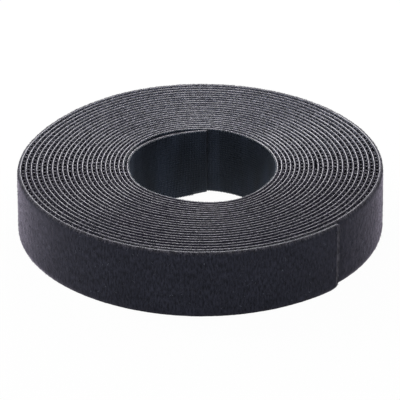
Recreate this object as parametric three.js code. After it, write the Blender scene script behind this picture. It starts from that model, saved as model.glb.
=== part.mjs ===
// A coreless roll of back-to-back hook-and-loop tape, lying flat with its bore upright.
// The tape is two bonded layers: a moulded hook film on the inside of every turn and a
// napped loop fabric on the outside. It is wound as one unbroken spiral. Its two free ends,
// the outer tail and the inner end in the bore, are short hinged lengths, so that they bend
// as the flexible tape does. Millimetres, +Z up, origin on the bore's axis at the base.
import * as THREE from "three";

// Driving dimensions of the tape.
const TAPE_WIDTH = 20;
const FILM_THICKNESS = 0.28;
const BOND_LINE = 0.05;
const LOOP_THICKNESS = 0.35;
// Room for hooks and pile between the fabric of one turn and the film of the next. The
// winding is tight at the bore and looser at the outside.
const TIGHT_HOOK_SPACE = 0.48;
const LOOSE_HOOK_SPACE = 0.87;

// Driving dimensions of the roll. Angles are in degrees, counter-clockwise seen from above.
// With no core in it the bore is a little oval, and the turns grow round towards the outside.
const BORE_RADIUS = 21.2;
const BORE_OVAL = 0.8;
const BORE_OVAL_ANGLE = 104;
const FULL_TURNS = 22;
const INNER_END_ANGLE = 86;
const OUTER_END_ANGLE = -44;

// The outer tail, which peels away from the roll, and how far its tip already stands off.
const TAIL_COUNT = 8;
const TAIL_LENGTH = 8;
const TAIL_LIFT = 0.3;

// The inner end, which bows off the turn behind it, into the bore.
const INNER_END_COUNT = 5;
const INNER_END_LENGTH = 6.3;
const INNER_END_BOW = 2.2;

// Slit left between two hinged lengths, wide enough for the thicker side to close into.
const HINGE_SLIT = 0.3;

// How far the middle of a facet may lie inside the true curve.
const FACET_SAG = 0.5;

// Sizes that follow from those above. A turn angle starts at 0 at the inner tip.
const FABRIC_FOOT = FILM_THICKNESS + BOND_LINE;
const FABRIC_TOP = FABRIC_FOOT + LOOP_THICKNESS;
const TIGHT_PITCH = FABRIC_TOP + TIGHT_HOOK_SPACE;
const LOOSE_PITCH = FABRIC_TOP + LOOSE_HOOK_SPACE;
const HINGE_DEPTH = FILM_THICKNESS + BOND_LINE / 2;
const FULL_TURN = 2 * Math.PI;
const FIRST_ANGLE = THREE.MathUtils.degToRad(INNER_END_ANGLE);
const PART_TURN = THREE.MathUtils.degToRad(
  THREE.MathUtils.euclideanModulo(OUTER_END_ANGLE - INNER_END_ANGLE, 360),
);
const LAST_TURN = FULL_TURNS * FULL_TURN + PART_TURN;
const OUTER_RADIUS = BORE_RADIUS + woundGrowth(LAST_TURN);
const STEPS_PER_TURN = Math.ceil(Math.PI / Math.acos(1 - FACET_SAG / OUTER_RADIUS));
const STEP = FULL_TURN / STEPS_PER_TURN;
const TAIL_STEP = TAIL_LENGTH / OUTER_RADIUS;
const TAIL_ROOT = LAST_TURN - TAIL_COUNT * TAIL_STEP;
const INNER_END_STEP = INNER_END_LENGTH / BORE_RADIUS;
const INNER_END_ROOT = INNER_END_COUNT * INNER_END_STEP;

const filmMaterial = new THREE.MeshStandardMaterial({
  color: 0x1d1f25,
  roughness: 0.45,
  metalness: 0,
});
const fabricMaterial = new THREE.MeshStandardMaterial({
  color: 0x2b2a33,
  roughness: 0.95,
  metalness: 0,
});

// How far the turns have grown outwards at a turn angle, while their pitch widens evenly.
function woundGrowth(turn) {
  const widening = ((LOOSE_PITCH - TIGHT_PITCH) * turn) / LAST_TURN / 2;
  return ((TIGHT_PITCH + widening) * turn) / FULL_TURN;
}

// How far the oval stands off a circle. It fades out towards the outside.
function ovalOffset(turn) {
  const fromLongAxis = FIRST_ANGLE + turn - THREE.MathUtils.degToRad(BORE_OVAL_ANGLE);
  return BORE_OVAL * Math.cos(2 * fromLongAxis) * (1 - turn / LAST_TURN);
}

// How far the inner end stands off the spiral, towards the axis. A stiff end lies straighter
// than the bore: it leaves its root smoothly, stands off most a third of the way from its tip,
// and its tip touches the turn behind it.
function innerBow(turn) {
  const along = Math.min(turn / INNER_END_ROOT, 1);
  const peak = (1 / 3) * (2 / 3) ** 2;
  return (INNER_END_BOW * along * (1 - along) ** 2) / peak;
}

// How far the tail stands off the turn under it, growing towards its tip.
function tailLift(turn) {
  const along = Math.max(turn - TAIL_ROOT, 0) / (LAST_TURN - TAIL_ROOT);
  return TAIL_LIFT * along ** 2;
}

// Radius of the film's inner face.
function filmRadius(turn) {
  const wound = BORE_RADIUS + woundGrowth(turn) + ovalOffset(turn);
  return wound - innerBow(turn) + tailLift(turn);
}

// A point of the true curve in plan, at a depth measured outwards from the film's inner face.
function curvePoint(turn, depth) {
  const radius = filmRadius(turn) + depth;
  const angle = FIRST_ANGLE + turn;
  return new THREE.Vector2(radius * Math.cos(angle), radius * Math.sin(angle));
}

// A point of the faceted tape in plan. The facets' corners fall on the same directions in
// every turn, so that the facets of neighbouring turns lie parallel.
function tapePoint(turn, depth) {
  const corner = Math.floor(turn / STEP);
  const start = curvePoint(corner * STEP, depth);
  const end = curvePoint((corner + 1) * STEP, depth);
  return start.lerp(end, turn / STEP - corner);
}

// Turn angles along a stretch: its two ends, and the facets' corners between them.
function stretchStations(from, to) {
  const leastStep = STEP / 30;
  const stations = [from];
  for (let k = Math.ceil(from / STEP); k * STEP < to; k += 1) {
    const turn = k * STEP;
    const clearOfEnds = turn - from > leastStep && to - turn > leastStep;
    if (clearOfEnds) stations.push(turn);
  }
  stations.push(to);
  return stations;
}

// One layer of a stretch of tape: its outline in plan between two depths, drawn from its
// pivot and extruded to the tape's width.
function layerGeometry(stations, depthIn, depthOut, pivot) {
  const inside = stations.map((turn) => tapePoint(turn, depthIn).sub(pivot));
  const outside = stations.map((turn) => tapePoint(turn, depthOut).sub(pivot));
  const outline = new THREE.Shape([...outside, ...inside.reverse()]);
  return new THREE.ExtrudeGeometry(outline, { depth: TAPE_WIDTH, bevelEnabled: false });
}

// Both layers of a stretch, in a group that stands at the stretch's pivot.
function tapeStretch(name, stations, pivot, parentPivot) {
  const stretch = new THREE.Group();
  const film = new THREE.Mesh(
    layerGeometry(stations, 0, FILM_THICKNESS, pivot),
    filmMaterial,
  );
  film.name = `${name}_hook_film`;
  const fabric = new THREE.Mesh(
    layerGeometry(stations, FABRIC_FOOT, FABRIC_TOP, pivot),
    fabricMaterial,
  );
  fabric.name = `${name}_loop_fabric`;
  stretch.add(film, fabric);
  stretch.position.set(pivot.x - parentPivot.x, pivot.y - parentPivot.y, 0);
  return stretch;
}

// The turn angle that lies half a slit before or after a hinge.
function besideHinge(turn, side) {
  return turn + (side * HINGE_SLIT) / 2 / filmRadius(turn);
}

// The hinged lengths of a free end, from its root to its tip: where each one's hinge lies,
// and its stations between the slits.
function hingedLengths(root, step, count) {
  const direction = Math.sign(step);
  const lengths = [];
  for (let k = 0; k < count; k += 1) {
    const hinge = root + k * step;
    const next = hinge + step;
    const near = besideHinge(hinge, direction);
    const isTip = k === count - 1;
    const far = isTip ? next : besideHinge(next, -direction);
    const stations = stretchStations(Math.min(near, far), Math.max(near, far));
    lengths.push({ hinge, stations });
  }
  return lengths;
}

// A chain of hinged lengths. Each hangs on the one before it.
function hingedChain(name, lengths) {
  const chain = new THREE.Group();
  let parent = chain;
  let parentPivot = new THREE.Vector2(0, 0);
  lengths.forEach(({ hinge, stations }, k) => {
    const pivot = tapePoint(hinge, HINGE_DEPTH);
    const length = tapeStretch(`${name}_${k + 1}`, stations, pivot, parentPivot);
    length.name = `${name}_${k + 1}_hinge`;
    parent.add(length);
    parent = length;
    parentPivot = pivot;
  });
  return chain;
}

// Distance from a point to the stretch between two others.
function distanceToSegment(point, start, end) {
  const along = end.clone().sub(start);
  const share = point.clone().sub(start).dot(along) / along.lengthSq();
  const nearest = start.clone().addScaledVector(along, THREE.MathUtils.clamp(share, 0, 1));
  return point.distanceTo(nearest);
}

// The least gap between the fabric of any turn and the film of another turn.
function leastGapBetweenTurns(turns) {
  const film = turns.map((turn) => tapePoint(turn, 0));
  const fabric = turns.map((turn) => tapePoint(turn, FABRIC_TOP));
  let least = Infinity;
  for (let i = 0; i < turns.length; i += 1) {
    for (let k = 1; k < turns.length; k += 1) {
      if (Math.abs(turns[k] - turns[i]) < Math.PI) continue;
      const fromFabric = distanceToSegment(fabric[i], film[k - 1], film[k]);
      const fromFilm = distanceToSegment(film[i], fabric[k - 1], fabric[k]);
      least = Math.min(least, fromFabric, fromFilm);
    }
  }
  return least;
}

const axis = new THREE.Vector2(0, 0);
const woundTurns = stretchStations(besideHinge(INNER_END_ROOT, 1), besideHinge(TAIL_ROOT, -1));
const tail = hingedLengths(TAIL_ROOT, TAIL_STEP, TAIL_COUNT);
const innerEnd = hingedLengths(INNER_END_ROOT, -INNER_END_STEP, INNER_END_COUNT);

const everyTurn = [...innerEnd, { stations: woundTurns }, ...tail]
  .flatMap((length) => length.stations)
  .sort((a, b) => a - b);
console.log(`least gap between turns: ${leastGapBetweenTurns(everyTurn).toFixed(2)} mm`);

const roll = new THREE.Group();
roll.add(
  tapeStretch("wound", woundTurns, axis, axis),
  hingedChain("tail", tail),
  hingedChain("inner_end", innerEnd),
);

export default roll;
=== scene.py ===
"""Looks of a flat roll of back-to-back hook-and-loop tape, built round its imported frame.

The tape's path is the one that the solids follow, worked out again here in metres. Every piece
is laid out in tape coordinates, which are the turn angle, the depth outwards from the film's
inner face and the height above the base, and then bent onto that path.
"""

import math

import bpy
import numpy as np
from mathutils import Matrix, Vector


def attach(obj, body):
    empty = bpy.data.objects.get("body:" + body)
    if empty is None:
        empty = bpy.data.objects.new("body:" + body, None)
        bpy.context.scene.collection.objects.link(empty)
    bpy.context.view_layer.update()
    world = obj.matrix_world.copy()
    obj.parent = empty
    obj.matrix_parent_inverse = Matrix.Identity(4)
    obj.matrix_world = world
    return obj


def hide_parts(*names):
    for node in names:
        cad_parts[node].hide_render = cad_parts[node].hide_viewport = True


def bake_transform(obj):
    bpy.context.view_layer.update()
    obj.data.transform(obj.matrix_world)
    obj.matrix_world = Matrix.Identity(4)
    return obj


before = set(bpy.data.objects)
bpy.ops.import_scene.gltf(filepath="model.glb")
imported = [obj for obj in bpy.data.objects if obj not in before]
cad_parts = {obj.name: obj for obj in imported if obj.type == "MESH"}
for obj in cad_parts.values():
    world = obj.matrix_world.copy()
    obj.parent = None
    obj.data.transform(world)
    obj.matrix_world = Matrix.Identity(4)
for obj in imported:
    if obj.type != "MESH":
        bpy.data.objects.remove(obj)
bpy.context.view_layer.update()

MM = 0.001
FULL_TURN = 2 * math.pi

# The tape's layers, as in the solids.
TAPE_WIDTH = 20 * MM
FILM_THICKNESS = 0.28 * MM
BOND_LINE = 0.05 * MM
LOOP_THICKNESS = 0.35 * MM
TIGHT_HOOK_SPACE = 0.48 * MM
LOOSE_HOOK_SPACE = 0.87 * MM

# The winding and its two free ends, as in the solids. The bow's curve is along * (1 - along) ** 2,
# whose peak is 4 / 27.
BORE_RADIUS = 21.2 * MM
BORE_OVAL = 0.8 * MM
BORE_OVAL_ANGLE = math.radians(104)
FULL_TURNS = 22
INNER_END_ANGLE = math.radians(86)
OUTER_END_ANGLE = math.radians(-44)
TAIL_COUNT = 8
TAIL_LENGTH = 8 * MM
TAIL_LIFT = 0.3 * MM
INNER_END_COUNT = 5
INNER_END_LENGTH = 6.3 * MM
INNER_END_BOW = 2.2 * MM
BOW_SCALE = 27 / 4

# Sizes that follow from those above. A turn angle starts at 0 at the inner tip.
FABRIC_TOP = FILM_THICKNESS + BOND_LINE + LOOP_THICKNESS
TIGHT_PITCH = FABRIC_TOP + TIGHT_HOOK_SPACE
LOOSE_PITCH = FABRIC_TOP + LOOSE_HOOK_SPACE
LAST_TURN = FULL_TURNS * FULL_TURN + (OUTER_END_ANGLE - INNER_END_ANGLE) % FULL_TURN
OUTER_RADIUS = BORE_RADIUS + (TIGHT_PITCH + LOOSE_PITCH) / 2 * LAST_TURN / FULL_TURN
TAIL_STEP = TAIL_LENGTH / OUTER_RADIUS
TAIL_ROOT = LAST_TURN - TAIL_COUNT * TAIL_STEP
INNER_END_STEP = INNER_END_LENGTH / BORE_RADIUS
INNER_END_ROOT = INNER_END_COUNT * INNER_END_STEP

# The wound pieces stop half a length short of the hinges at the free ends' roots. The outer face of
# the fabric shows from a little over one turn before the tail.
WOUND_START = INNER_END_ROOT + INNER_END_STEP / 2
WOUND_END = TAIL_ROOT - TAIL_STEP / 2
NAP_START = TAIL_ROOT - FULL_TURN - TAIL_STEP

# How unevenly the tape is wound. The turns at the front of the bore are bent askew. The outermost
# turns are a little oval, flat at the diagonals and dented at the back left. All turns waver in
# radius and height. The foot of the innermost turns leans in towards the axis, and the top of the
# inner end leans out. The steps are turn angles.
BORE_SKEW = 0.5 * MM
OUTER_OVAL = 0.12 * MM
OUTER_FLAT = 0.2 * MM
BENDS_PER_TURN = 4
OUTER_DENT = 1.0 * MM
DENT_ANGLE = math.radians(148)
DENT_SPREAD = math.radians(42)
WINDING_WOBBLE = 0.05 * MM
WOBBLE_STEP = 0.35
FINE_WOBBLE_STEP = WOBBLE_STEP / 4
EDGE_SHIFT = 0.12 * MM
EDGE_SHIFT_STEP = WOBBLE_STEP * 2
BORE_LEAN = 0.5 * MM
LEAN_TURNS = 2
BOW_LOST_AT_TOP = 0.42

# Fineness of the path's table and of the noise, the share of a finer noise beside a coarse one,
# the gap left where two faces would touch, and the angle above which an edge stays hard.
TABLE_POINTS = 40001
NOISE_CELLS = 8192
NOISE_GRID = (2048, 64)
FINE_SHARE = 0.5
HAIR_GAP = 0.01 * MM
CREASE_ANGLE = math.radians(50)

# The film, with its slit edges rounded.
FILM_CORNER = 0.06 * MM
FILM_INNER_CORNER = 0.12 * MM
FILM_STATION = 1.2 * MM

# The fabric starts inside the bond line, so that no gap shows between it and the film.
FABRIC_FOOT = FILM_THICKNESS + HAIR_GAP
FABRIC_CORNER = 0.08 * MM
FABRIC_STATION = 0.8 * MM
EDGE_FRAY = 0.07 * MM
FRAY_CELL = 0.6 * MM

# The napped face that shows on the outermost turn and on the free ends. Its cells are given along
# and across the tape, with the factors by which the fine relief has more of them.
NAP_LOFT = 0.36 * MM
NAP_RELIEF = 0.04 * MM
NAP_CELL = (0.8 * MM, 1.1 * MM)
FINE_NAP_CELLS = (1.7, 2.6)
NAP_ROUNDING = 0.5 * MM
NAP_ROUNDED_OVER = 1.6 * MM
NAP_STATION = 0.4 * MM
NAP_ROWS = 46

# The tail's tip is cut aslant, rounded at its lower corner and frayed. A band along it is painted
# pale: partly its frayed fibres' own colour, partly a painted highlight of the light they catch. The
# inner tip's lower edge rises.
TIP_CORNER_LENGTH = 2.8 * MM
TIP_CORNER_HEIGHT = 1.3 * MM
TIP_SLANT = 0.6 * MM
TIP_BAND = 0.7 * MM
INNER_TIP_RISE = 0.3 * MM
INNER_TIP_LENGTH = 7 * MM

# Between two turns the pile fills the gap, but for a groove along both edges, where bundles of
# pile stand apart and reach over to the ledge of hooked pile on the next film. Where the winding
# is looser, the ledge takes up a share of the wider gap. The lips are the paler stretches of the
# groove's sides, next to the tape's edge: the fabric's in its nap colour, the ledge's painted pale
# as a painted highlight. Below the lips the groove is painted almost black, as painted shade.
FABRIC_BAND = 0.33 * MM
GROOVE_DEPTH = 1.4 * MM
GROOVE_WAVER = 0.05 * MM
WAVER_CELL = 0.8 * MM
LEAST_LEDGE = 0.05 * MM
LEDGE_SHARE = 0.6
LEDGE_DROP = 0.06 * MM
FABRIC_LIP = 0.4 * MM
LEDGE_LIP = 0.24 * MM

# One bundle, seen from above: half its outline, along the tape as a share of its width and
# outwards as a share of the groove, and the caps that fill the whole outline.
BUNDLE_OUTLINE = ((0.38, 0.0), (0.25, 0.28), (0.22, 0.62), (0.29, 1.0))
BUNDLE_CAPS = ((0, 1, 6, 7), (1, 2, 5, 6), (2, 3, 4, 5))
BUNDLE_WIDTH = (0.75 * MM, 1.25 * MM)
BUNDLE_HEIGHT = 0.4 * MM
BUNDLE_SUNK = (0.28 * MM, 0.44 * MM)
BUNDLE_SPACING = 1.95 * MM
BUNDLE_SCATTER = 0.16 * MM
BUNDLE_LEAN = 0.08 * MM
BUNDLES_LOST = 0.03

# One hook, seen from above: half its outline in millimetres, along the tape and inwards from the
# film, and the caps that fill the whole outline.
HOOK_OUTLINE = ((0.10, -0.02), (0.06, 0.08), (0.06, 0.22), (0.17, 0.19), (0.17, 0.28), (0.07, 0.36))
HOOK_CAPS = ((0, 1, 10, 11), (1, 2, 9, 10), (2, 3, 4, 5), (2, 5, 6, 9), (6, 7, 8, 9))
HOOK_SIZES = (0.9, 1.08)
HOOK_LEAN = 0.02 * MM
HOOK_THICKNESS = 0.54 * MM
HOOK_SPACING = 0.49 * MM
HOOK_ROWS = 28
HOOK_EDGE_MARGIN = 0.4 * MM

# Loose fibres. A pair is the least and the greatest value. A lean, bend, slope, curl, stray or sway
# is a spread, or a pair of spreads along the tape and outwards. The taper is the share of the radius
# left at mid-length, and a steep fibre rises by more than such a share of its length.
FIBRE_SIDES = 3
FIBRE_TAPER = 0.8
STEEP_FIBRE = 0.7
FIBRE_RADIUS = 0.025 * MM

# Fibres and lint on the nap. Their tips have shares of the curl and the rise at mid-length.
NAP_FIBRES_PER_TURN = 11000
LINT_PER_TURN = 260
NAP_FIBRE_LENGTH = (0.4 * MM, 1.3 * MM)
NAP_FIBRE_SLOPE = 0.7
NAP_FIBRE_RISE = (0.02 * MM, 0.12 * MM)
NAP_FIBRE_CURL = 0.12 * MM
NAP_FIBRE_MARGIN = 0.4 * MM
NAP_FIBRE_SUNK = 0.03 * MM
NAP_TIP_SHARES = (0.4, 0.6, 0)
NAP_TIP_HEIGHTS = (0.05 * MM, TAPE_WIDTH + 0.1 * MM)

# Fibres on the fabric's cut edges.
TOP_FIBRES = 18000
BASE_FIBRES = 3000
EDGE_FIBRE_REACH = (0.1 * MM, 0.32 * MM)
EDGE_FIBRE_DEPTH = (FABRIC_FOOT, FABRIC_TOP + 0.1 * MM)
EDGE_FIBRE_SUNK = 0.15 * MM
EDGE_FIBRE_LEAN = (0.3 * MM, 0.2 * MM)
EDGE_FIBRE_BEND = (0.06 * MM, 0.04 * MM)

# Fibres over the rim of the nap.
RIM_FIBRES_PER_TURN = 4800
RIM_FIBRE_RADIUS = 0.038 * MM
RIM_FIBRE_LENGTH = (0.3 * MM, 1.4 * MM)
RIM_FIBRE_SLOPE = 0.9
RIM_FIBRE_OUT = (0.03 * MM, 0.18 * MM)
RIM_TIP_OUT_SHARE = 0.4
RIM_FIBRE_HEIGHT = TAPE_WIDTH - 0.02 * MM
RIM_FIBRE_SUNK = 0.05 * MM
RIM_FIBRE_ARCH = 0.05 * MM

# Fibres at the cut ends.
TIP_FIBRES = 1600
TIP_FIBRE_HEIGHT = (TIP_CORNER_HEIGHT, TAPE_WIDTH - 0.1 * MM)
TIP_FIBRE_DEPTHS = (0.2, 1)
TIP_FIBRE_DEPTH_POWER = 0.3
TIP_FIBRE_REACH = (0.05 * MM, 0.4 * MM)
TIP_FIBRE_BACK_MM = (0.02, 0.8)
TIP_FIBRE_BACK_POWER = 1.5
TIP_FIBRE_OUT = (0.05 * MM, 0.3 * MM)
TIP_FIBRE_STRAY = 0.25 * MM
TIP_FIBRE_BOW = (0, 0.15 * MM)
TIP_FIBRE_SWAY = 0.08 * MM

# Burrs on the film's upper edge.
BURRS = 1500
BURR_RADIUS = 0.05 * MM
BURR_REACH = (0.1 * MM, 0.35 * MM)
BURR_LEAN = (0.3 * MM, 0.18 * MM)
BURR_SUNK = 0.05 * MM
BURR_ARCH = 0.04 * MM

# Seeds of the noise and of the random draws.
WOBBLE_SEED, FINE_WOBBLE_SEED, EDGE_SHIFT_SEED = 1, 8, 2
NAP_SEED, FINE_NAP_SEED = 3, 4
TOP_FRAY_SEED, BASE_FRAY_SEED, WAVER_SEED = 5, 6, 7
NAP_FIBRE_SEED, TOP_FIBRE_SEED, BASE_FIBRE_SEED = 11, 12, 13
TOP_BUNDLE_SEED, BASE_BUNDLE_SEED = 14, 15
RIM_FIBRE_SEED, BURR_SEED, LINT_SEED = 16, 17, 18
HOOK_SEED, TAIL_SEED, INNER_SEED = 100, 1000, 2000
SEEDS_PER_LENGTH = 10

# Numbers of the materials on the film's and the fabric's pieces.
FILM_FACE, FILM_EDGE = 0, 1
FABRIC_FACE, FABRIC_EDGE, FABRIC_FIBRE, FABRIC_FRAY_AND_HIGHLIGHT = 0, 1, 2, 3
FABRIC_BUNDLE_PAINTED_LIGHT, FABRIC_PAINTED_HIGHLIGHT_AND_LINT, FABRIC_PAINTED_SHADE = 4, 5, 6

# Linear colours, dark and pale ones in pairs. Shades multiply them.
FILM_COLOURS = ((0.012, 0.017, 0.031), (0.027, 0.034, 0.056))
# Painted reflection: the film's stretches made paler and darker for the uneven reflections in the bore.
FILM_PAINTED_REFLECTION_SHADES = ((0.68, 0.68, 0.66), (1.6, 1.6, 1.5))
FILM_TINT = (0.8, 0.92, 1, 1)
FILM_EDGE_COLOURS = ((0.045, 0.043, 0.052), (0.322, 0.295, 0.365))
FILM_EDGE_SHADES = ((0.5, 0.5, 0.51), (1.0, 1.0, 1.0))
NAP_COLOURS = ((0.0105, 0.012, 0.0175), (0.046, 0.048, 0.071))
NAP_SHADES = ((0.78, 0.78, 0.78), (1.0, 1.0, 1.0))
NAP_SHEEN = (0.80, 0.72, 0.90, 1)
FABRIC_EDGE_COLOURS = ((0.008, 0.0077, 0.012), (0.041, 0.037, 0.062))
# Painted shade: the pile deep between two turns and on the bundles' sides, painted almost black.
PAINTED_SHADE_COLOURS = ((0.002, 0.002, 0.003), (0.010, 0.010, 0.012))
LOOP_FIBRE_COLOURS = ((0.02, 0.02, 0.028), (0.08, 0.078, 0.10))
# The frayed fibres' own paler colour, also used as a painted highlight on the outer rim and the tail's
# tip.
FRAY_AND_PAINTED_HIGHLIGHT_COLOURS = ((0.05, 0.049, 0.062), (0.18, 0.172, 0.21))
# Painted light: the bundles' tops, much paler than the same pile around them, for the light on them.
BUNDLE_PAINTED_LIGHT_COLOURS = ((0.07, 0.068, 0.082), (0.26, 0.25, 0.295))
# Painted highlight, pale and bluish, on the ledge's lips; the same colour is the pale lint on the nap.
PAINTED_HIGHLIGHT_AND_LINT_COLOURS = ((0.14, 0.155, 0.2), (0.44, 0.485, 0.6))
TUFT_SHADES = ((0.4, 0.4, 0.4), (1.35, 1.35, 1.35))
FLOOR_COLOUR = (0.9, 0.9, 0.9, 1)
WHITE = (1, 1, 1, 1)

# Where most values of a noise texture lie, the floor's whiteness and reach, and the level of the
# light all round.
NOISE_RANGE = (0.3, 0.7)
FLOOR_WHITENESS = 0.97
FLOOR_REACH = 3.0
WORLD_LEVEL = 0.3

# The photograph's camera, for a square frame of 400 pixels.
FRAME_PIXELS = 400
SENSOR_WIDTH = 36
CAMERA_ELEVATION = math.radians(27.67)
CAMERA_ROLL = math.radians(0.26)
CAMERA_DISTANCE = 1441 * MM
CAMERA_FOCAL_PIXELS = 5073
CAMERA_CLIP = (0.01, 20)
AIM_HEIGHT = 10.5 * MM
AIM_PIXEL = (201.6, 194.9)


# Noise

def eased(share):
    """A share from 0 to 1, with a soft start and a soft end."""
    return share * share * (3 - 2 * share)


def noise_along(x, seed):
    """Smooth noise of one variable, from -1 to 1, with a cell of 1."""
    lattice = np.random.default_rng(seed).uniform(-1, 1, NOISE_CELLS)
    cell = np.floor(x).astype(int)
    low = lattice[cell % NOISE_CELLS]
    high = lattice[(cell + 1) % NOISE_CELLS]
    return low + (high - low) * eased(x - cell)


def noise_over(x, y, seed):
    """Smooth noise of two variables, from -1 to 1, with a cell of 1."""
    lattice = np.random.default_rng(seed).uniform(-1, 1, NOISE_GRID)
    rows, columns = NOISE_GRID
    cell_x, cell_y = np.floor(x).astype(int), np.floor(y).astype(int)
    ease_x, ease_y = eased(x - cell_x), eased(y - cell_y)

    def value(step_x, step_y):
        return lattice[(cell_x + step_x) % rows, (cell_y + step_y) % columns]

    near = value(0, 0) + (value(1, 0) - value(0, 0)) * ease_x
    far = value(0, 1) + (value(1, 1) - value(0, 1)) * ease_x
    return near + (far - near) * ease_y


def positive(noise):
    """Noise from -1 to 1, moved to 0 to 1."""
    return 0.5 + 0.5 * noise


# The tape's path

def inner_bow(turn):
    """How far the inner end stands off the spiral, towards the axis."""
    along = np.clip(turn / INNER_END_ROOT, 0, 1)
    return INNER_END_BOW * BOW_SCALE * along * (1 - along) ** 2


def film_radius(turn):
    """Radius of the film's inner face, on the path that the solids follow."""
    pitch = TIGHT_PITCH + (LOOSE_PITCH - TIGHT_PITCH) * turn / LAST_TURN / 2
    from_long_axis = INNER_END_ANGLE + turn - BORE_OVAL_ANGLE
    oval = BORE_OVAL * np.cos(2 * from_long_axis) * (1 - turn / LAST_TURN)
    along_tail = np.maximum(turn - TAIL_ROOT, 0) / (LAST_TURN - TAIL_ROOT)
    wound = BORE_RADIUS + pitch * turn / FULL_TURN + oval
    return wound - inner_bow(turn) + TAIL_LIFT * along_tail ** 2


def winding_bends(turn):
    """How far the tape stands off that path where the winding is bent."""
    angle = INNER_END_ANGLE + turn
    outwards = turn / LAST_TURN
    at_front = np.maximum(-np.sin(angle), 0)
    skew = BORE_SKEW * np.sin(BENDS_PER_TURN * angle) * at_front * (1 - outwards) ** 2
    flat = OUTER_FLAT * (1 - np.cos(BENDS_PER_TURN * angle))
    from_dent = (angle - DENT_ANGLE + math.pi) % FULL_TURN - math.pi
    dent = OUTER_DENT * np.cos(math.pi / 2 * np.clip(from_dent / DENT_SPREAD, -1, 1)) ** 2
    return skew - (OUTER_OVAL * np.cos(2 * angle) + flat + dent) * outwards ** 2


def tape_radius(turn):
    """Radius of the film's inner face, as unevenly as it is wound."""
    coarse = noise_along(turn / WOBBLE_STEP, WOBBLE_SEED)
    fine = noise_along(turn / FINE_WOBBLE_STEP, FINE_WOBBLE_SEED)
    wobble = WINDING_WOBBLE * (coarse + FINE_SHARE * fine)
    return film_radius(turn) + winding_bends(turn) + wobble


def room_outwards(turn):
    """Distance from the film's inner face to that of the next turn."""
    return tape_radius(turn + FULL_TURN) - tape_radius(turn)


TURN_TABLE = np.linspace(0, LAST_TURN, TABLE_POINTS)
LENGTH_TABLE = np.concatenate(
    [[0], np.cumsum(film_radius((TURN_TABLE[1:] + TURN_TABLE[:-1]) / 2) * np.diff(TURN_TABLE))]
)


def arc_length(turn):
    """Length of tape from the inner tip to a turn angle."""
    return np.interp(turn, TURN_TABLE, LENGTH_TABLE)


def turn_at(length):
    """The turn angle at a length of tape from the inner tip."""
    return np.interp(length, LENGTH_TABLE, TURN_TABLE)


def tip_slant(turn, height):
    """Turn angle that the slanted cut takes off the tail's tip. Above mid-height it adds some."""
    near_tip = np.clip(1 - (LAST_TURN - turn) / (TAIL_STEP / 2), 0, 1)
    return TIP_SLANT / OUTER_RADIUS * near_tip * (0.5 - height / TAPE_WIDTH)


def tape_points(turn, depth, height):
    """Places in the frame of points given in tape coordinates."""
    turn, depth, height = np.broadcast_arrays(turn, depth, height)
    turn = turn - tip_slant(turn, height)
    shift = EDGE_SHIFT * positive(noise_along(turn / EDGE_SHIFT_STEP, EDGE_SHIFT_SEED))
    upwards = height / TAPE_WIDTH
    lean = BORE_LEAN * (1 - upwards) * np.clip(1 - turn / (LEAN_TURNS * FULL_TURN), 0, 1)
    radius = tape_radius(turn) + depth - lean + BOW_LOST_AT_TOP * inner_bow(turn) * upwards
    angle = INNER_END_ANGLE + turn
    return np.stack([radius * np.cos(angle), radius * np.sin(angle), height + shift], axis=-1)


def stations(start, end, spacing):
    """Turn angles from start to end, about that far apart along the tape."""
    length = arc_length(end) - arc_length(start)
    count = max(2, math.ceil(length / spacing) + 1)
    return turn_at(np.linspace(arc_length(start), arc_length(end), count))


def on_inner_end(turn):
    """Whether a turn angle where the nap shows lies on the inner end."""
    return turn < FULL_TURN


# Edges and faces of the tape

def lower_edge(turns):
    """Height of the tape's lower edge, rounded off at the tail's tip and rising to the inner tip."""
    before_tip = arc_length(LAST_TURN) - arc_length(turns)
    inset = np.clip(1 - before_tip / TIP_CORNER_LENGTH, 0, 1)
    rise = INNER_TIP_RISE * np.clip(1 - arc_length(turns) / INNER_TIP_LENGTH, 0, 1)
    return TIP_CORNER_HEIGHT * (1 - np.sqrt(1 - inset ** 2)) + rise


def frayed_top(turns):
    """Height of the fabric's frayed upper edge."""
    return TAPE_WIDTH + EDGE_FRAY * noise_along(arc_length(turns) / FRAY_CELL, TOP_FRAY_SEED)


def frayed_base(turns):
    """Height of the fabric's frayed lower edge, which stays above the floor."""
    return EDGE_FRAY * positive(noise_along(arc_length(turns) / FRAY_CELL, BASE_FRAY_SEED))


def groove_sides(turns):
    """Depths of the two sides of the grooves: the fabric's and the ledge's on the next film."""
    room = room_outwards(turns)
    ledge = LEAST_LEDGE + LEDGE_SHARE * np.maximum(room - TIGHT_PITCH, 0)
    waver = GROOVE_WAVER * noise_along(arc_length(turns) / WAVER_CELL, WAVER_SEED)
    return FABRIC_FOOT + FABRIC_BAND + waver, room - ledge


def nap_depth(turns, heights):
    """Depth of the napped face, lofty and uneven, and rounded off at its upper and lower edges.

    The nap of the inner end is pressed flat at its tip and its root.
    """
    along, across = arc_length(turns) / NAP_CELL[0], heights / NAP_CELL[1]
    coarse = noise_over(along, across, NAP_SEED)
    fine = noise_over(along * FINE_NAP_CELLS[0], across * FINE_NAP_CELLS[1], FINE_NAP_SEED)
    relief = NAP_RELIEF * (coarse + FINE_SHARE * fine)
    from_edge = np.minimum(heights, TAPE_WIDTH - heights) / NAP_ROUNDED_OVER
    rounding = NAP_ROUNDING * np.clip(1 - from_edge, 0, 1) ** 2
    inner_loft = np.sin(math.pi * np.clip(turns / INNER_END_ROOT, 0, 1))
    loft = NAP_LOFT * np.where(on_inner_end(turns), inner_loft, 1)
    return FABRIC_TOP + loft + relief - rounding


# Meshes

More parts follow.
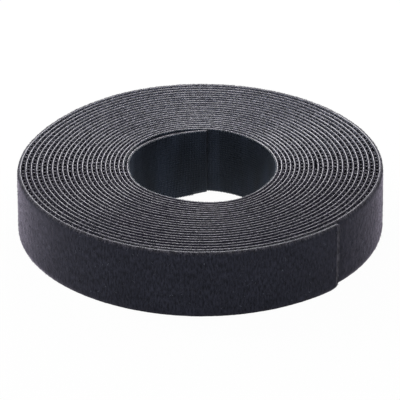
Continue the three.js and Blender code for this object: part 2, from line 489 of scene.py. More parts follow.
class Shape:
    """The points, faces, face materials and texture coordinates of one piece.

    A texture coordinate is a place on the tape, in millimetres along it and across it.
    """

    def __init__(self):
        self.points = []
        self.faces = []
        self.count = 0

    def add_points(self, points):
        """Adds points, and returns the number of the first one."""
        first = self.count
        self.points.append(points.reshape(-1, 3))
        self.count += len(self.points[-1])
        return first

    def add_faces(self, corners, slot, places):
        """Adds faces with the same number of corners. Slot is one material number or one a face."""
        sides = corners.shape[-1]
        corners = corners.reshape(-1, sides)
        slots = np.broadcast_to(slot, len(corners))
        self.faces.append((corners, slots, places.reshape(-1, sides, 2)))

    def piece(self, name, materials):
        """The Blender object of this shape."""
        mesh = bpy.data.meshes.new(name)
        points = np.concatenate(self.points)
        corners = np.concatenate([block.ravel() for block, _, _ in self.faces])
        sides = np.concatenate([np.full(len(block), block.shape[1]) for block, _, _ in self.faces])
        slots = np.concatenate([block for _, block, _ in self.faces])
        places = np.concatenate([block.reshape(-1, 2) for _, _, block in self.faces])
        mesh.vertices.add(len(points))
        mesh.vertices.foreach_set("co", points.ravel())
        mesh.loops.add(len(corners))
        mesh.loops.foreach_set("vertex_index", corners.astype(np.int32))
        mesh.polygons.add(len(sides))
        mesh.polygons.foreach_set("loop_start", (np.cumsum(sides) - sides).astype(np.int32))
        mesh.polygons.foreach_set("material_index", slots.astype(np.int32))
        layer = mesh.uv_layers.new(name="tape")
        layer.data.foreach_set("uv", (places / MM).ravel())
        for material in materials:
            mesh.materials.append(material)
        mesh.update(calc_edges=True)
        mesh.set_sharp_from_angle(angle=CREASE_ANGLE)
        piece = bpy.data.objects.new(name, mesh)
        bpy.context.scene.collection.objects.link(piece)
        return piece


def add_strip(shape, turns, depths, heights, side_slots, end_slot):
    """Adds a closed strip of tape. Each row of depths and heights is its section at one station.

    The section runs up the inner face, out over the top, down the outer face and back.
    """
    count, around = depths.shape
    first = shape.add_points(tape_points(turns[:, None], depths, heights))
    ring = first + np.arange(count)[:, None] * around
    here = np.arange(around)
    after = (here + 1) % around
    sides = [ring[:-1] + here, ring[:-1] + after, ring[1:] + after, ring[1:] + here]
    steps = [np.diff(values[0], append=values[0][0]) for values in (depths, heights)]
    across = np.concatenate([[0], np.cumsum(np.hypot(*steps))])
    along = arc_length(turns)
    grid = np.stack(np.meshgrid(along, across, indexing="ij"), axis=-1)
    places = [grid[:-1, :-1], grid[:-1, 1:], grid[1:, 1:], grid[1:, :-1]]
    slots = np.broadcast_to(side_slots, (count - 1, around)).ravel()
    shape.add_faces(np.stack(sides, axis=-1), slots, np.stack(places, axis=-2))
    for row, order in ((0, here[::-1]), (count - 1, here)):
        end_places = np.stack([along[row] + depths[row, order], heights[row, order]], axis=-1)
        shape.add_faces((ring[row] + order)[None], end_slot, end_places)


def add_edged_strip(shape, turns, low, high, profile, inner_slot, end_slot):
    """Adds a strip that has the same profile at its upper edge and, mirrored, at its lower one.

    Each point of the profile, from the inner face outwards, has its depth, its distance from the
    edge and the slot of the side after it.
    """
    upper = [(depth, high - inset) for depth, inset, _ in profile]
    lower = [(depth, low + inset) for depth, inset, _ in profile[::-1]]
    section = lower[-1:] + upper + lower[:-1]
    depths = np.stack([np.broadcast_to(depth, len(turns)) for depth, _ in section], axis=1)
    heights = np.stack([np.broadcast_to(height, len(turns)) for _, height in section], axis=1)
    slots = [slot for _, _, slot in profile]
    add_strip(shape, turns, depths, heights, [inner_slot] + slots + slots[-2::-1], end_slot)


def side_by_side(along, outwards, up):
    """Offsets of points from their turn angles. A single number holds for all points."""
    return np.stack(np.broadcast_arrays(along, outwards, up), axis=-1)


def add_copies(shape, turns, offsets, faces, slot):
    """Adds copies of a small form. Offsets hold each copy's points: along, outwards and up.

    Slot is one material number, or one for each face of the form.
    """
    turns = np.asarray(turns)[:, None]
    along, outwards, up = offsets[..., 0], offsets[..., 1], offsets[..., 2]
    first = shape.add_points(tape_points(turns + along / film_radius(turns), outwards, up))
    number = first + np.arange(len(offsets))[:, None, None] * offsets.shape[1]
    places = np.stack([arc_length(turns) + along, outwards + up], axis=-1)
    for form in faces:
        form = np.array(form)
        slots = np.tile(np.broadcast_to(slot, len(form)), len(offsets))
        shape.add_faces(number + form, slots, places[:, form])


# Hooks and bundles of pile

def prism_faces(half, caps):
    """Faces of an upright prism by half its outline and its caps. Its lower points come first."""
    count = 2 * len(half)
    sides = [(k, (k + 1) % count, count + (k + 1) % count, count + k) for k in range(count)]
    upper = [tuple(count + k for k in face) for face in caps]
    lower = [face[::-1] for face in caps]
    return [sides + upper + lower]


def whole_outline(half):
    """An outline from its half, mirrored across the line where the first value is 0."""
    half = np.array(half)
    return np.concatenate([half, half[::-1] * (-1, 1)])


HOOK_FACES = prism_faces(HOOK_OUTLINE, HOOK_CAPS)
BUNDLE_FACES = prism_faces(BUNDLE_OUTLINE, BUNDLE_CAPS)
# The bundles' sides get the painted shade, their tops the painted light.
BUNDLE_SLOTS = [FABRIC_PAINTED_SHADE] * (2 * len(BUNDLE_OUTLINE)) + [FABRIC_BUNDLE_PAINTED_LIGHT] * (2 * len(BUNDLE_CAPS))


def add_prisms(shape, turns, along, depth, low, high, faces, slot):
    """Adds upright prisms. Along and depth hold the outline of each, low and high its two heights."""
    layers = [side_by_side(along, depth, level) for level in (low, high)]
    add_copies(shape, turns, np.concatenate(layers, axis=1), faces, slot)


def add_hooks(shape, start, end, slot):
    """Adds all rows of hooks on the film between two turn angles."""
    outline = whole_outline(HOOK_OUTLINE) * MM
    reach = outline[:, 1] / outline[:, 1].max()
    room = TAPE_WIDTH - 2 * HOOK_EDGE_MARGIN
    places = np.arange(HOOK_SPACING / 2, arc_length(LAST_TURN), HOOK_SPACING)
    turns = turn_at(places)
    for row in range(HOOK_ROWS):
        draws = np.random.default_rng(HOOK_SEED + row)
        size = draws.uniform(*HOOK_SIZES, len(places))
        lean = draws.normal(0, HOOK_LEAN, len(places))
        middle = HOOK_EDGE_MARGIN + room * row / (HOOK_ROWS - 1)
        low, high = middle - HOOK_THICKNESS / 2, middle + HOOK_THICKNESS / 2
        kept = (turns >= start) & (turns < end) & (lower_edge(turns) < low)
        share = size[kept][:, None]
        along = outline[:, 0] * share + lean[kept][:, None] * reach
        depth = -outline[:, 1] * share
        add_prisms(shape, turns[kept], along, depth, low, high, HOOK_FACES, slot)


def add_bundles(shape, start, end, at_top, seed):
    """Adds the bundles of pile along one edge, a little way down the groove."""
    draws = np.random.default_rng(seed)
    places = np.arange(arc_length(start), arc_length(end), BUNDLE_SPACING)
    places = places + draws.normal(0, BUNDLE_SCATTER, len(places))
    places = places[draws.uniform(0, 1, len(places)) > BUNDLES_LOST]
    turns = turn_at(places)
    outline = whole_outline(BUNDLE_OUTLINE)
    width = draws.uniform(*BUNDLE_WIDTH, len(turns))[:, None]
    lean = draws.normal(0, BUNDLE_LEAN, len(turns))[:, None]
    foot, head = [side[:, None] for side in groove_sides(turns)]
    along = outline[:, 0] * width + lean * outline[:, 1]
    depth = foot + (head - foot) * outline[:, 1]
    sunk = draws.uniform(*BUNDLE_SUNK, len(turns))[:, None]
    low = TAPE_WIDTH - sunk - BUNDLE_HEIGHT if at_top else sunk
    add_prisms(shape, turns, along, depth, low, low + BUNDLE_HEIGHT, BUNDLE_FACES, BUNDLE_SLOTS)


# Fibres

# Three points round the root of a fibre come first, then three round its middle, then its tip.
FIBRE_FACES = (
    ((2, 1, 0), (3, 4, 6), (4, 5, 6), (5, 3, 6)),
    ((0, 1, 4, 3), (1, 2, 5, 4), (2, 0, 3, 5)),
)


def add_fibres(shape, turns, roots, middles, tips, radius, slot):
    """Adds tapered fibres through three places each: along, outwards and up from their turn angle."""
    axis = tips - roots
    axis = axis / np.linalg.norm(axis, axis=1, keepdims=True)
    helper = np.where(np.abs(axis[:, 2:]) < STEEP_FIBRE, (0.0, 0.0, 1.0), (1.0, 0.0, 0.0))
    side = np.cross(axis, helper)
    side = side / np.linalg.norm(side, axis=1, keepdims=True)
    other = np.cross(axis, side)
    rings = []
    for middle, share in ((roots, 1.0), (middles, FIBRE_TAPER)):
        for k in range(FIBRE_SIDES):
            angle = FULL_TURN * k / FIBRE_SIDES
            rings.append(middle + radius * share * (side * math.cos(angle) + other * math.sin(angle)))
    rings.append(tips)
    add_copies(shape, turns, np.stack(rings, axis=1), FIBRE_FACES, slot)


def add_nap_fibres(shape, start, end, per_turn, slot, seed):
    """Adds short fibres that lie on the napped face, scattered about the upright."""
    draws = np.random.default_rng(seed)
    count = round(per_turn * (end - start) / FULL_TURN)
    turns = draws.uniform(start, end, count)
    length = draws.uniform(*NAP_FIBRE_LENGTH, count)
    slope = draws.normal(0, NAP_FIBRE_SLOPE, count)
    way = draws.choice((-1, 1), count)
    rise = draws.uniform(*NAP_FIBRE_RISE, count)
    height = NAP_FIBRE_MARGIN + draws.uniform(0.0, 1.0, count) * (TAPE_WIDTH - 2 * NAP_FIBRE_MARGIN)
    curl = draws.normal(0, NAP_FIBRE_CURL, count)
    run = side_by_side(length * np.sin(slope), 0, length * np.cos(slope) * way)
    roots = side_by_side(0, nap_depth(turns, height) - NAP_FIBRE_SUNK, height)
    lift = side_by_side(curl, rise, 0)
    tips = roots + run + lift * NAP_TIP_SHARES
    tips[:, 2] = np.clip(tips[:, 2], *NAP_TIP_HEIGHTS)
    add_fibres(shape, turns, roots, (roots + tips) / 2 + lift, tips, FIBRE_RADIUS, slot)


def add_edge_fibres(shape, start, end, count, at_top, slot, seed):
    """Adds frayed fibre ends that stand on the fabric's cut edges."""
    draws = np.random.default_rng(seed)
    turns = turn_at(draws.uniform(arc_length(start), arc_length(end), count))
    way = 1 if at_top else -1
    level = TAPE_WIDTH if at_top else 0.0
    depth = draws.uniform(*EDGE_FIBRE_DEPTH, count)
    reach = draws.uniform(*EDGE_FIBRE_REACH, count)
    lean_along, lean_out = [draws.normal(0, spread, count) for spread in EDGE_FIBRE_LEAN]
    bend_along, bend_out = [draws.normal(0, spread, count) for spread in EDGE_FIBRE_BEND]
    roots = side_by_side(0, depth, level - way * EDGE_FIBRE_SUNK)
    tips = roots + side_by_side(lean_along, lean_out, way * reach)
    if not at_top:
        tips[:, 2] = np.maximum(tips[:, 2], HAIR_GAP)
    middles = (roots + tips) / 2 + side_by_side(bend_along, bend_out, 0)
    add_fibres(shape, turns, roots, middles, tips, FIBRE_RADIUS, slot)


def add_rim_fibres(shape, start, end, slot, seed):
    """Adds fibres that hang from the upper edge of the napped face over that face."""
    draws = np.random.default_rng(seed)
    count = round(RIM_FIBRES_PER_TURN * (end - start) / FULL_TURN)
    turns = draws.uniform(start, end, count)
    length = draws.uniform(*RIM_FIBRE_LENGTH, count)
    slope = draws.normal(0, RIM_FIBRE_SLOPE, count)
    out = draws.uniform(*RIM_FIBRE_OUT, count)
    rim = np.full(count, RIM_FIBRE_HEIGHT)
    below = rim - length * np.abs(np.cos(slope))
    roots = side_by_side(0, nap_depth(turns, rim) - RIM_FIBRE_SUNK, rim)
    tip_depth = nap_depth(turns, below) + out * RIM_TIP_OUT_SHARE
    tips = side_by_side(length * np.sin(slope), tip_depth, below)
    middles = (roots + tips) / 2 + side_by_side(0, out, RIM_FIBRE_ARCH + out / 2)
    add_fibres(shape, turns, roots, middles, tips, RIM_FIBRE_RADIUS, slot)


def add_tip_fibres(shape, turn, way, slot, seed):
    """Adds fibres that stand out from a cut end of the tape, most of them near the napped face."""
    draws = np.random.default_rng(seed)
    turns = np.full(TIP_FIBRES, turn)
    height = draws.uniform(*TIP_FIBRE_HEIGHT, TIP_FIBRES)
    share = draws.uniform(*TIP_FIBRE_DEPTHS, TIP_FIBRES) ** TIP_FIBRE_DEPTH_POWER
    depth = FABRIC_FOOT + (nap_depth(turns, height) - FABRIC_FOOT) * share
    reach = draws.uniform(*TIP_FIBRE_REACH, TIP_FIBRES)
    back = draws.uniform(*TIP_FIBRE_BACK_MM, TIP_FIBRES) ** TIP_FIBRE_BACK_POWER * MM
    out = draws.uniform(*TIP_FIBRE_OUT, TIP_FIBRES)
    stray = draws.normal(0, TIP_FIBRE_STRAY, TIP_FIBRES)
    bow = draws.uniform(*TIP_FIBRE_BOW, TIP_FIBRES)
    sway = draws.normal(0, TIP_FIBRE_SWAY, TIP_FIBRES)
    roots = side_by_side(-way * back, depth, height)
    run = side_by_side(way * reach, out, stray)
    middles = roots + run / 2 + side_by_side(0, bow, sway)
    add_fibres(shape, turns, roots, middles, roots + run, FIBRE_RADIUS, slot)


def add_burrs(shape, start, end, slot, seed):
    """Adds slivers that stand up from the film's upper slit edge."""
    draws = np.random.default_rng(seed)
    turns = turn_at(draws.uniform(arc_length(start), arc_length(end), BURRS))
    reach = draws.uniform(*BURR_REACH, BURRS)
    lean = draws.normal(0, 1, (BURRS, 2)) * BURR_LEAN
    depth = draws.uniform(0, FILM_THICKNESS, BURRS)
    roots = side_by_side(0, depth, TAPE_WIDTH - BURR_SUNK)
    tips = roots + np.column_stack([lean, reach])
    add_fibres(shape, turns, roots, (roots + tips) / 2 + (0, 0, BURR_ARCH), tips, BURR_RADIUS, slot)


# Layers of the tape

def add_film(shape, start, end):
    """Adds the film between two turn angles, with its slit edges rounded."""
    turns = stations(start, end, FILM_STATION)
    profile = (
        (0, FILM_INNER_CORNER, FILM_EDGE),
        (FILM_INNER_CORNER, 0, FILM_EDGE),
        (FILM_THICKNESS - FILM_CORNER, 0, FILM_EDGE),
        (FILM_THICKNESS, FILM_CORNER, FILM_FACE),
    )
    add_edged_strip(shape, turns, lower_edge(turns), TAPE_WIDTH, profile, FILM_FACE, FILM_FACE)


def add_wound_fabric(shape, start, end):
    """Adds the fabric and the pile of the turns that lie under other turns."""
    turns = stations(start, end, FABRIC_STATION)
    fabric_side, ledge_side = groove_sides(turns)
    next_film = room_outwards(turns) - HAIR_GAP
    # Below the lips the groove's sides and floor are painted almost black, as painted shade; the
    # ledge's lip is a painted highlight.
    profile = (
        (FABRIC_FOOT, FABRIC_CORNER, FABRIC_EDGE),
        (FABRIC_FOOT + FABRIC_CORNER, 0, FABRIC_EDGE),
        (fabric_side - FABRIC_CORNER, 0, FABRIC_EDGE),
        (fabric_side, FABRIC_CORNER, FABRIC_FACE),
        (fabric_side, FABRIC_LIP, FABRIC_PAINTED_SHADE),
        (fabric_side, GROOVE_DEPTH, FABRIC_PAINTED_SHADE),
        (ledge_side, GROOVE_DEPTH, FABRIC_PAINTED_SHADE),
        (ledge_side, LEDGE_LIP, FABRIC_PAINTED_HIGHLIGHT_AND_LINT),
        (ledge_side, LEDGE_DROP, FABRIC_EDGE),
        (next_film, LEDGE_DROP, FABRIC_PAINTED_SHADE),
    )
    low, high = frayed_base(turns), frayed_top(turns)
    add_edged_strip(shape, turns, low, high, profile, FABRIC_PAINTED_SHADE, FABRIC_EDGE)


def add_napped_fabric(shape, start, end):
    """Adds a stretch of fabric whose napped face shows, frayed along the cut end of the tail.

    The band along that cut end, and the top edge but on the inner end, are painted pale: partly the
    frayed fibres' own colour, partly a painted highlight.
    """
    turns = stations(start, end, NAP_STATION)
    low, high = lower_edge(turns)[:, None], frayed_top(turns)[:, None]
    rows = np.linspace(1, 0, NAP_ROWS)
    face_heights = low + rows * (high - low)
    face_depths = nap_depth(turns[:, None], face_heights)
    inside = np.full((len(turns), 1), FABRIC_FOOT)
    depths = np.concatenate([inside, inside, face_depths], axis=1)
    heights = np.concatenate([low, high, face_heights], axis=1)
    # Except on the inner end, the top edge gets the pale frayed colour: a painted highlight along the
    # rim.
    rim = FABRIC_EDGE if on_inner_end(start) else FABRIC_FRAY_AND_HIGHLIGHT
    slots = [FABRIC_FACE, rim] + [FABRIC_FACE] * (NAP_ROWS - 1) + [FABRIC_EDGE]
    # Along the tail's cut end the nap gets the pale frayed colour too: a painted highlight of the light
    # its frayed fibres catch.
    frayed = arc_length(LAST_TURN) - arc_length(turns[1:]) < TIP_BAND
    slots = np.where(frayed[:, None], FABRIC_FRAY_AND_HIGHLIGHT, slots)
    add_strip(shape, turns, depths, heights, slots, FABRIC_EDGE)


# Materials

def set_sockets(node, values):
    """Sets values on a node's own sockets."""
    for socket, value in values.items():
        node.inputs[socket].default_value = value


def tape_texture(tree, along, across, detail=3.0, roughness=0.6):
    """A noise texture laid along the tape, with that many cells a millimetre along and across it."""
    place = tree.nodes.new("ShaderNodeUVMap")
    place.uv_map = "tape"
    scale = tree.nodes.new("ShaderNodeVectorMath")
    scale.operation = "MULTIPLY"
    scale.inputs[1].default_value = (along, across, 1)
    noise = tree.nodes.new("ShaderNodeTexNoise")
    set_sockets(noise, {"Scale": 1, "Detail": detail, "Roughness": roughness})
    tree.links.new(place.outputs["UV"], scale.inputs[0])
    tree.links.new(scale.outputs["Vector"], noise.inputs["Vector"])
    return noise.outputs["Fac"]


def colour_ramp(tree, value, positions, colours):
    """A change from one linear colour to another between two positions of a value."""
    ramp = tree.nodes.new("ShaderNodeValToRGB")
    for k in (0, 1):
        element = ramp.color_ramp.elements[k]
        element.position = positions[k]
        element.color = (*colours[k], 1)
    tree.links.new(value, ramp.inputs["Fac"])
    return ramp.outputs["Color"]


def value_range(tree, value, low, high):
    """A noise value mapped to low to high."""
    node = tree.nodes.new("ShaderNodeMapRange")
    set_sockets(node, {"From Min": NOISE_RANGE[0], "From Max": NOISE_RANGE[1]})
    set_sockets(node, {"To Min": low, "To Max": high})
    tree.links.new(value, node.inputs["Value"])
    return node.outputs["Result"]


def add_colour(tree, shader, colour, shade):
    """A colour times a shade as the base colour of a shader."""
    node = tree.nodes.new("ShaderNodeMix")
    node.data_type = "RGBA"
    node.blend_type = "MULTIPLY"
    set_sockets(node, {"Factor": 1})
    tree.links.new(colour, node.inputs["A"])
    tree.links.new(shade, node.inputs["B"])
    tree.links.new(node.outputs["Result"], shader.inputs["Base Color"])


def add_bump(tree, shader, value, strength, distance):
    """A bump from a value on a shader."""
    bump = tree.nodes.new("ShaderNodeBump")
    set_sockets(bump, {"Strength": strength, "Distance": distance})
    tree.links.new(value, bump.inputs["Height"])
    tree.links.new(bump.outputs["Normal"], shader.inputs["Normal"])


def new_material(name):
    """A material with nodes, its node tree and its shader."""
    material = bpy.data.materials.new(name)
    material.use_nodes = True
    tree = material.node_tree
    return material, tree, tree.nodes["Principled BSDF"]


def film_material():
    """Satin black moulded plastic with faint upright lines, darker and paler by stretches.

    The stretches are painted reflections, for the uneven reflections seen in the bore.
    """
    material, tree, shader = new_material("hook_film")
    streaks = tape_texture(tree, along=1.8, across=0.05)
    colour = colour_ramp(tree, streaks, NOISE_RANGE, FILM_COLOURS)
    # Painted reflection: slow paler and darker stretches along the film.
    patches = tape_texture(tree, along=0.12, across=0.03, detail=1.0)
    shade = colour_ramp(tree, patches, (0.4, 0.6), FILM_PAINTED_REFLECTION_SHADES)
    lines = tape_texture(tree, along=3.0, across=0.4)
    add_colour(tree, shader, colour, shade)
    tree.links.new(value_range(tree, streaks, low=0.40, high=0.55), shader.inputs["Roughness"])
    set_sockets(shader, {"Specular IOR Level": 0.4, "Specular Tint": FILM_TINT})
    add_bump(tree, shader, lines, strength=0.3, distance=0.03 * MM)
    return material


def film_edge_material():
    """The film's slit edge, paler than its face and uneven."""
    material, tree, shader = new_material("hook_film_edge")
    nicks = tape_texture(tree, along=0.9, across=2.0)
    colour = colour_ramp(tree, nicks, (0.41, 0.58), FILM_EDGE_COLOURS)
    wear = tape_texture(tree, along=0.2, across=0.5, detail=2.0)
    shade = colour_ramp(tree, wear, (0.4, 0.58), FILM_EDGE_SHADES)
    add_colour(tree, shader, colour, shade)
    set_sockets(shader, {"Roughness": 0.27, "Specular IOR Level": 1, "IOR": 1.7})
    add_bump(tree, shader, nicks, strength=0.7, distance=0.08 * MM)
    return material


def nap_material():
    """Brushed loop pile: matt, nearly black, with upright streaks and a soft sheen."""
    material, tree, shader = new_material("loop_nap")
    streaks = tape_texture(tree, along=2.0, across=0.6, detail=5.0, roughness=0.7)
    colour = colour_ramp(tree, streaks, (0.36, 0.64), NAP_COLOURS)
    patches = tape_texture(tree, along=0.09, across=0.12, detail=2.0)
    shade = colour_ramp(tree, patches, NOISE_RANGE, NAP_SHADES)
    strands = tape_texture(tree, along=4.0, across=1.2, detail=4.0)
    add_colour(tree, shader, colour, shade)
    set_sockets(shader, {"Roughness": 0.95, "Specular IOR Level": 0.15})
    set_sockets(shader, {"Sheen Weight": 0.9, "Sheen Roughness": 0.32, "Sheen Tint": NAP_SHEEN})
    add_bump(tree, shader, strands, strength=0.6, distance=0.08 * MM)
    return material


def fabric_edge_material():
    """The fabric's cut edge, a mix of dark gaps and paler fibre ends."""
    material, tree, shader = new_material("loop_fabric_edge")
    ends = tape_texture(tree, along=4.0, across=4.0, detail=4.0)
    colour = colour_ramp(tree, ends, (0.35, 0.7), FABRIC_EDGE_COLOURS)
    tree.links.new(colour, shader.inputs["Base Color"])
    set_sockets(shader, {"Roughness": 0.9, "Specular IOR Level": 0.2})
    add_bump(tree, shader, ends, strength=0.7, distance=0.1 * MM)
    return material


def painted_shade_material():
    """Painted shade: pile deep between two turns, painted almost black for the shade there."""
    material, tree, shader = new_material("loop_pile_painted_shade")
    strands = tape_texture(tree, along=3.0, across=1.0)
    colour = colour_ramp(tree, strands, NOISE_RANGE, PAINTED_SHADE_COLOURS)
    tree.links.new(colour, shader.inputs["Base Color"])
    set_sockets(shader, {"Roughness": 1, "Specular IOR Level": 0.05})
    add_bump(tree, shader, strands, strength=0.6, distance=0.1 * MM)
    return material


def fibre_material(name, colours):
    """Single loose fibres, some paler than others, in darker and paler tufts.

    The same material paints the bundles' tops with painted light and the ledge's lips with a painted
    highlight.
    """
    material, tree, shader = new_material(name)
    fibres = tape_texture(tree, along=6.0, across=0.6, detail=1.0)
    colour = colour_ramp(tree, fibres, NOISE_RANGE, colours)
    tufts = tape_texture(tree, along=1.1, across=0.4, detail=2.0)
    shade = colour_ramp(tree, tufts, (0.38, 0.62), TUFT_SHADES)
    add_colour(tree, shader, colour, shade)
    set_sockets(shader, {"Roughness": 0.7, "Specular IOR Level": 0.3})
    return material


FILM_MATERIALS = (film_material(), film_edge_material())
FABRIC_MATERIALS = (
    nap_material(),
    fabric_edge_material(),
    fibre_material("loop_fibre", LOOP_FIBRE_COLOURS),
    fibre_material("frayed_fibre_and_highlight", FRAY_AND_PAINTED_HIGHLIGHT_COLOURS),
    fibre_material("pile_bundle_painted_light", BUNDLE_PAINTED_LIGHT_COLOURS),
    fibre_material("painted_highlight_and_lint", PAINTED_HIGHLIGHT_AND_LINT_COLOURS),
    painted_shade_material(),
)


# Pieces of the winding

def film_piece(name, shape):
    """A piece of film."""
    return shape.piece(name, FILM_MATERIALS)


def fabric_piece(name, shape):
    """A piece of fabric, pile or fibres."""
    return shape.piece(name, FABRIC_MATERIALS)


def make_wound_film():
    """The wound film, with burrs on its upper edge."""
    shape = Shape()
    add_film(shape, WOUND_START, WOUND_END)
    add_burrs(shape, WOUND_START, WOUND_END, FILM_EDGE, BURR_SEED)
    wound_film = film_piece("wound_film", shape)
    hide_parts("wound_hook_film")
    return wound_film


def make_wound_fabric():
    """The wound fabric, napped where its face shows."""
    shape = Shape()
    add_wound_fabric(shape, WOUND_START, NAP_START)
    add_napped_fabric(shape, NAP_START, WOUND_END)
    wound_fabric = fabric_piece("wound_fabric", shape)
    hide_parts("wound_loop_fabric")
    return wound_fabric


def make_bore_hooks():
    """The hooks of the first wound turn, which show in the bore."""
    shape = Shape()
    add_hooks(shape, WOUND_START, WOUND_START + FULL_TURN, FILM_FACE)
    return film_piece("bore_hooks", shape)


def make_pile_bundles():
    """The bundles of pile along both edges."""
    shape = Shape()
    add_bundles(shape, WOUND_START, NAP_START, True, TOP_BUNDLE_SEED)
    add_bundles(shape, WOUND_START, NAP_START, False, BASE_BUNDLE_SEED)
    return fabric_piece("pile_bundles", shape)


def make_nap_fibres():
    """The fibres and the pale lint on the napped face."""
    shape = Shape()
    add_nap_fibres(shape, NAP_START, WOUND_END, NAP_FIBRES_PER_TURN, FABRIC_FIBRE, NAP_FIBRE_SEED)
    add_nap_fibres(shape, NAP_START, WOUND_END, LINT_PER_TURN, FABRIC_PAINTED_HIGHLIGHT_AND_LINT, LINT_SEED)
    return fabric_piece("nap_fibres", shape)


def make_edge_fibres():
    """The fibres on both edges and over the rim of the napped face."""
    shape = Shape()
    add_edge_fibres(shape, WOUND_START, WOUND_END, TOP_FIBRES, True, FABRIC_FRAY_AND_HIGHLIGHT, TOP_FIBRE_SEED)
    add_edge_fibres(shape, WOUND_START, WOUND_END, BASE_FIBRES, False, FABRIC_FRAY_AND_HIGHLIGHT, BASE_FIBRE_SEED)
    add_rim_fibres(shape, NAP_START, WOUND_END, FABRIC_FRAY_AND_HIGHLIGHT, RIM_FIBRE_SEED)
    return fabric_piece("edge_fibres", shape)


def make_winding():
    """All pieces that ride on the roll. Returns the wound fabric."""
    wound_film = make_wound_film()
    wound_fabric = make_wound_fabric()
    loose = [make_bore_hooks(), make_pile_bundles(), make_nap_fibres(), make_edge_fibres()]
    for piece in [wound_film, wound_fabric] + loose:
        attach(piece, "roll")
    return wound_fabric


# Pieces of the free ends

def film_length(name, start, end):
    """Film with all its hooks between two turn angles."""
    shape = Shape()
    add_film(shape, start, end)
    add_hooks(shape, start, end, FILM_FACE)
    return film_piece(name, shape)


def fabric_length(name, start, end, seed):
    """Napped fabric with its fibres between two turn angles."""
    nap_seed, top_seed, base_seed, rim_seed, tip_seed, lint_seed = range(seed, seed + 6)
    shape = Shape()
    add_napped_fabric(shape, start, end)
    add_nap_fibres(shape, start, end, NAP_FIBRES_PER_TURN, FABRIC_FIBRE, nap_seed)
    add_nap_fibres(shape, start, end, LINT_PER_TURN, FABRIC_PAINTED_HIGHLIGHT_AND_LINT, lint_seed)
    share = (arc_length(end) - arc_length(start)) / arc_length(LAST_TURN)
    loose = FABRIC_FIBRE if on_inner_end(start) else FABRIC_FRAY_AND_HIGHLIGHT
    add_edge_fibres(shape, start, end, round(TOP_FIBRES * share), True, loose, top_seed)
    add_edge_fibres(shape, start, end, round(BASE_FIBRES * share), False, loose, base_seed)
    add_rim_fibres(shape, start, end, loose, rim_seed)
    if end == LAST_TURN:
        add_tip_fibres(shape, end, 1, loose, tip_seed)
    if start == 0:
        add_tip_fibres(shape, start, -1, loose, tip_seed)
    return fabric_piece(name, shape)


def make_free_end(name, root, step, count, seed):
    """The two layers of a free end. Each piece reaches about one hinge, from mid-length to mid-length.
    """
    fabrics = []
    middle_height = TAPE_WIDTH / 2
    for k in range(count):
        hinge = root + k * step
        near, far = hinge - step / 2, hinge + step / 2
        start, end = min(near, far), max(near, far)
        film = film_length(f"{name}_film_{k + 1}", start, end)
        fabric = fabric_length(f"{name}_fabric_{k + 1}", start, end, seed + SEEDS_PER_LENGTH * k)
        child = f"{name}_{k + 1}"
        bend_start = tape_points(near, FILM_THICKNESS, middle_height)
        bend_end = tape_points(far, FILM_THICKNESS, middle_height)
        for piece, node in ((film, f"{child}_hook_film"), (fabric, f"{child}_loop_fabric")):
            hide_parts(node)
            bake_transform(piece)
        fabrics.append(fabric)
    last_middle = root + (count - 0.5) * step
    tip = LAST_TURN if step > 0 else 0
    start, end = min(last_middle, tip), max(last_middle, tip)
    film = film_length(f"{name}_film_tip", start, end)
    fabric = fabric_length(f"{name}_fabric_tip", start, end, seed + SEEDS_PER_LENGTH * count)
    for piece in (film, fabric):
        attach(piece, f"{name}_{count}")
    return fabrics + [fabric]


# Stage, light and camera

def camera_or_glossy(tree):
    """1 for what the camera sees straight or in a reflection, and 0 for light on the object."""
    path = tree.nodes.new("ShaderNodeLightPath")
    either = tree.nodes.new("ShaderNodeMath")
    either.operation = "MAXIMUM"
    tree.links.new(path.outputs["Is Camera Ray"], either.inputs[0])
    tree.links.new(path.outputs["Is Glossy Ray"], either.inputs[1])
    return either.outputs["Value"]


def make_floor():
    """A white floor that keeps a light shadow."""
    material, tree, shader = new_material("floor")
    set_sockets(shader, {"Base Color": FLOOR_COLOUR, "Roughness": 1, "Specular IOR Level": 0})
    glow = tree.nodes.new("ShaderNodeEmission")
    share = tree.nodes.new("ShaderNodeMath")
    share.operation = "MULTIPLY"
    share.inputs[1].default_value = FLOOR_WHITENESS
    mix = tree.nodes.new("ShaderNodeMixShader")
    tree.links.new(camera_or_glossy(tree), share.inputs[0])
    tree.links.new(share.outputs["Value"], mix.inputs["Fac"])
    tree.links.new(shader.outputs["BSDF"], mix.inputs[1])
    tree.links.new(glow.outputs["Emission"], mix.inputs[2])
    tree.links.new(mix.outputs["Shader"], tree.nodes["Material Output"].inputs["Surface"])
    mesh = bpy.data.meshes.new("floor")
    corners = [(x * FLOOR_REACH, y * FLOOR_REACH, 0) for x, y in ((-1, -1), (1, -1), (1, 1), (-1, 1))]
    mesh.from_pydata(corners, [], [(0, 1, 2, 3)])
    mesh.materials.append(material)
    floor = bpy.data.objects.new("floor", mesh)
    bpy.context.scene.collection.objects.link(floor)


def make_world():
    """Even white light all round, seen as plain white."""
    world = bpy.data.worlds.new("studio")
    world.use_nodes = True
    tree = world.node_tree
    background = tree.nodes["Background"]
    set_sockets(background, {"Color": WHITE})
    level = tree.nodes.new("ShaderNodeMapRange")
    set_sockets(level, {"To Min": WORLD_LEVEL, "To Max": 1})
    path = tree.nodes.new("ShaderNodeLightPath")
    tree.links.new(path.outputs["Is Camera Ray"], level.inputs["Value"])
    tree.links.new(level.outputs["Result"], background.inputs["Strength"])
    bpy.context.scene.world = world


def add_light(name, place, aim, size, power):
    """A soft rectangular lamp at a place, turned to an aim point."""
    data = bpy.data.lights.new(name, "AREA")
    data.shape = "RECTANGLE"
    data.size, data.size_y = size
    data.energy = power
    lamp = bpy.data.objects.new(name, data)
    lamp.location = place
    lamp.rotation_mode = "QUATERNION"
    lamp.rotation_quaternion = (Vector(aim) - Vector(place)).to_track_quat("-Z", "Y")
    bpy.context.scene.collection.objects.link(lamp)


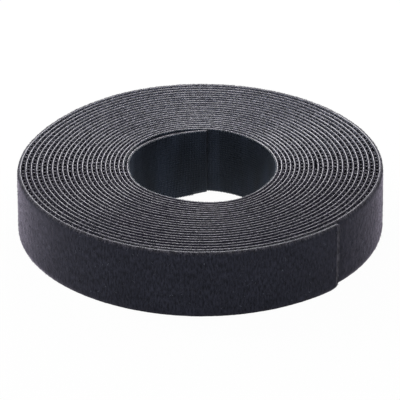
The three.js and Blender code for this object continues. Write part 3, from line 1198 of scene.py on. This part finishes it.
def make_lights():
    """Large lamps at the left and the right, smaller ones at the back, overhead and over the bore."""
    middle = (0, 0, TAPE_WIDTH / 2)
    behind = (0, 0.03, TAPE_WIDTH)
    add_light("left_lamp", place=(-0.58, 0.29, 0.35), aim=middle, size=(0.4, 0.4), power=2.7)
    add_light("right_lamp", place=(0.58, 0.31, 0.35), aim=middle, size=(0.4, 0.4), power=0.66)
    add_light("back_lamp", place=(0, 0.18, 0.11), aim=behind, size=(0.16, 0.1), power=0.24)
    add_light("top_lamp", place=(0, -0.2, 0.45), aim=behind, size=(0.32, 0.18), power=0.64)
    add_light("bore_lamp", place=(0, 0.014, 0.09), aim=middle, size=(0.06, 0.06), power=0.014)


def make_camera():
    """The photograph's camera: its angle, its distance and its framing."""
    data = bpy.data.cameras.new("camera")
    data.sensor_width = SENSOR_WIDTH
    data.lens = CAMERA_FOCAL_PIXELS * SENSOR_WIDTH / FRAME_PIXELS
    data.clip_start, data.clip_end = CAMERA_CLIP
    right = Vector((1, 0, 0))
    up = Vector((0, math.sin(CAMERA_ELEVATION), math.cos(CAMERA_ELEVATION)))
    back = right.cross(up)
    metres_per_pixel = CAMERA_DISTANCE / CAMERA_FOCAL_PIXELS
    off_right = (FRAME_PIXELS / 2 - AIM_PIXEL[0]) * metres_per_pixel
    off_up = (AIM_PIXEL[1] - FRAME_PIXELS / 2) * metres_per_pixel
    place = Vector((0, 0, AIM_HEIGHT)) + right * off_right + up * off_up + back * CAMERA_DISTANCE
    turn = Matrix((right, up, back)).transposed().to_4x4()
    roll = Matrix.Rotation(-CAMERA_ROLL, 4, "Z")
    camera = bpy.data.objects.new("camera", data)
    camera.matrix_world = Matrix.Translation(place) @ turn @ roll
    bpy.context.scene.collection.objects.link(camera)
    bpy.context.scene.camera = camera


make_camera()
make_floor()
make_world()
make_lights()
bpy.context.scene.view_settings.view_transform = "Standard"

wound_fabric = make_winding()
tail_fabrics = make_free_end("tail", TAIL_ROOT, TAIL_STEP, TAIL_COUNT, TAIL_SEED)
inner_fabrics = make_free_end("inner_end", INNER_END_ROOT, -INNER_END_STEP, INNER_END_COUNT, INNER_SEED)
